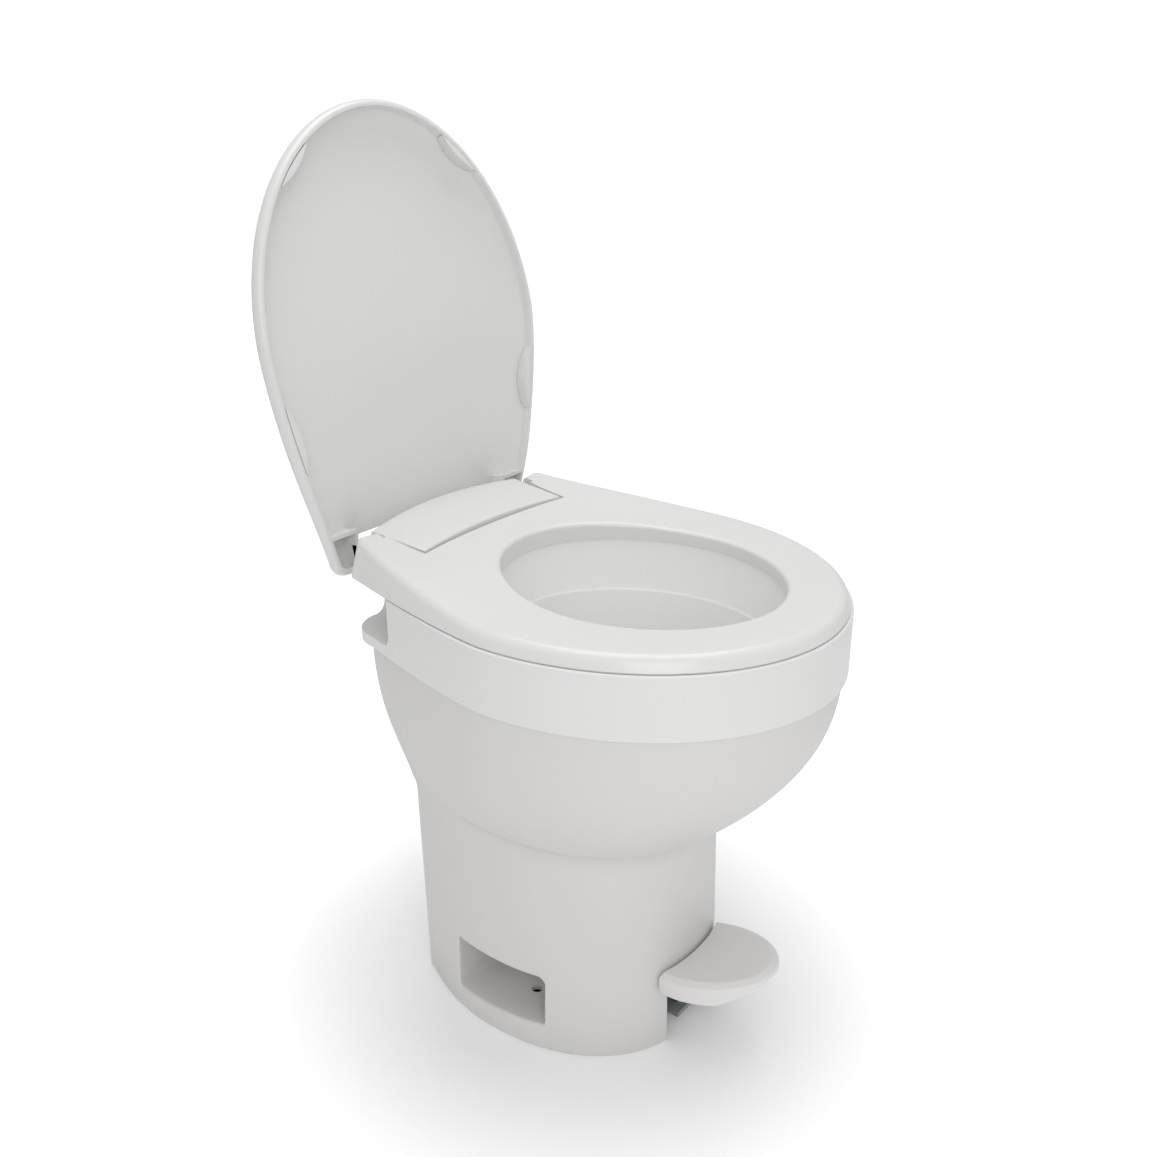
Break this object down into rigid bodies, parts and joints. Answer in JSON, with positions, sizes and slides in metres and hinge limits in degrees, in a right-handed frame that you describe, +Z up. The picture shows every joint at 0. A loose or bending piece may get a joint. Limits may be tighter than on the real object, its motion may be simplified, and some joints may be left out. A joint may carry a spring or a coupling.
{
  "type": "rv toilet",
  "caption": "Floor-mounted pedestal RV toilet with contoured seat, hinged lid, foot-pedal flush, rotating waste valve, gravity outlet and rear water inlet.",
  "frame": {"origin": "middle of the overall bounding box at floor level, with the seat down and the lid open as in the picture", "axes": "+X towards the right of someone sitting on it seen from behind, -Y the front of the toilet where the pedal is, +Z up"},
  "size_m": [0.3734, 0.5078, 0.8429],
  "materials": {
    "body_plastic": "satin off-white moulded plastic",
    "seat_plastic": "glossy off-white moulded plastic",
    "bowl_plastic": "glossy off-white moulded plastic",
    "valve_plastic": "dark grey moulded plastic",
    "gear_plastic": "natural acetal plastic",
    "rubber": "black moulded rubber",
    "steel": "plain stainless steel",
    "brass": "turned brass",
    "hose_plastic": "translucent white hose"
  },
  "bodies": {
    "base": {"pedestal_shell": "body_plastic", "rim_band": "body_plastic", "bowl_liner": "bowl_plastic", "valve_housing": "valve_plastic", "waste_ball_seal": "rubber", "floor_flange_seal": "rubber", "return_spring": "steel", "water_valve": "valve_plastic", "inlet_fitting": "brass", "vacuum_breaker": "valve_plastic", "supply_hose": "hose_plastic", "rinse_hose": "hose_plastic", "rinse_nozzle": "valve_plastic", "hinge_bracket": "body_plastic", "hinge_pin_left": "steel", "hinge_pin_right": "steel", "hinge_cover": "seat_plastic"},
    "pedal": {"pedal_pad": "body_plastic", "pedal_arm": "body_plastic", "pedal_shaft": "steel", "pedal_sector_gear": "gear_plastic"},
    "ball": {"waste_ball": "gear_plastic", "drive_pinion": "gear_plastic", "water_cam": "gear_plastic"},
    "plunger": {"water_valve_plunger": "steel"},
    "seat": {"seat_shell": "seat_plastic", "seat_underplate": "seat_plastic", "seat_bumper_1": "rubber", "seat_bumper_2": "rubber", "seat_bumper_3": "rubber", "seat_bumper_4": "rubber"},
    "lid": {"lid_shell": "seat_plastic", "lid_pad_1": "seat_plastic", "lid_pad_2": "seat_plastic", "lid_pad_3": "seat_plastic", "lid_pad_4": "seat_plastic"}
  },
  "joints": [
    {"name": "pedal_press", "type": "hinge", "parent": "base", "child": "pedal", "pos_m": [0, -0.0887, 0.066], "axis": [1, 0, 0], "range_deg": [0, 18], "stiffness_Nm_per_rad": 12, "springref_deg": -17.19, "deforming": ["return_spring"]},
    {"name": "ball_turn", "type": "hinge", "parent": "base", "child": "ball", "pos_m": [0, -0.0027, 0.1668], "axis": [1, 0, 0], "range_deg": [-88, 0]},
    {"name": "plunger_slide", "type": "slide", "parent": "base", "child": "plunger", "axis": [0, 1, 0], "range_m": [0, 0.005]},
    {"name": "seat_hinge", "type": "hinge", "parent": "base", "child": "seat", "pos_m": [0, 0.1543, 0.454], "axis": [-1, 0, 0], "range_deg": [0, 92]},
    {"name": "lid_hinge", "type": "hinge", "parent": "seat", "child": "lid", "pos_m": [0, 0.1543, 0.454], "axis": [-1, 0, 0], "range_deg": [-101.5, 0]}
  ],
  "couplings": [
    {"joint": "ball_turn", "follows": "pedal_press", "ratio": -4.8888},
    {"joint": "plunger_slide", "follows": "pedal_press", "m_per_rad": 0.0159}
  ]
}
